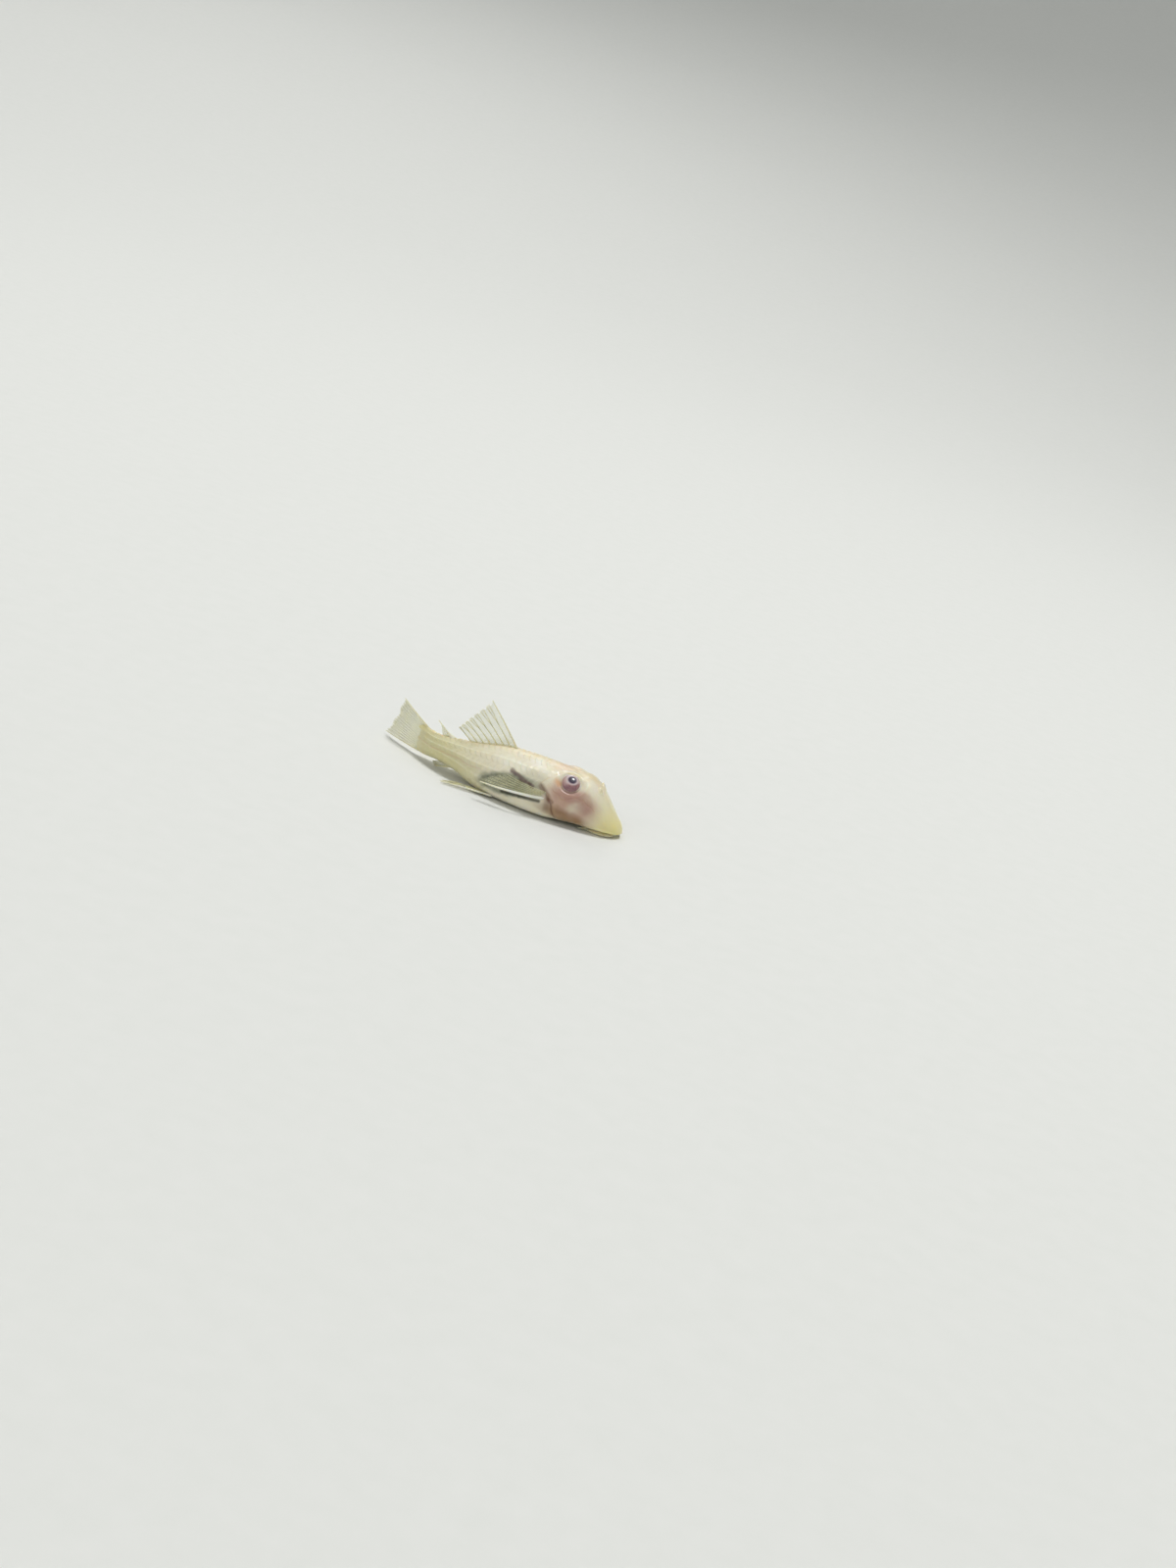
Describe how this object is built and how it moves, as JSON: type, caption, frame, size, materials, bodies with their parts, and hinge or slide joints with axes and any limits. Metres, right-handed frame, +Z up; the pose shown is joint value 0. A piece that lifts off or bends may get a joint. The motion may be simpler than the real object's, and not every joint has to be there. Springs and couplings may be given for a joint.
{
  "type": "albino bristlenose pleco juvenile",
  "caption": "Small pale armoured catfish resting on its belly, dorsal fin raised, paired fins spread low and tail swept to its left, as a still model.",
  "frame": {"origin": "middle of the flat of the belly, on the ground", "axes": "+X towards the snout, +Y to the fish's left, +Z up"},
  "size_m": [0.0186, 0.0075, 0.0059],
  "materials": {
    "skin": "translucent cream to pale yellow skin over bony plates, pink at the gills, moist sheen",
    "lip": "soft pale yellow lips, moist",
    "fin": "clear, faintly yellow web between pale yellow rays",
    "eye": "wet glossy eye, dark violet pupil in a pink iris"
  },
  "bodies": {
    "root": {"head": "skin", "torso": "skin", "tail": "skin", "sucker_mouth": "lip", "eye_left": "eye", "eye_right": "eye", "dorsal_fin": "fin", "adipose_fin": "fin", "caudal_fin": "fin", "anal_fin": "fin", "pectoral_fin_left": "fin", "pectoral_fin_right": "fin", "pelvic_fin_left": "fin", "pelvic_fin_right": "fin"}
  },
  "joints": []
}
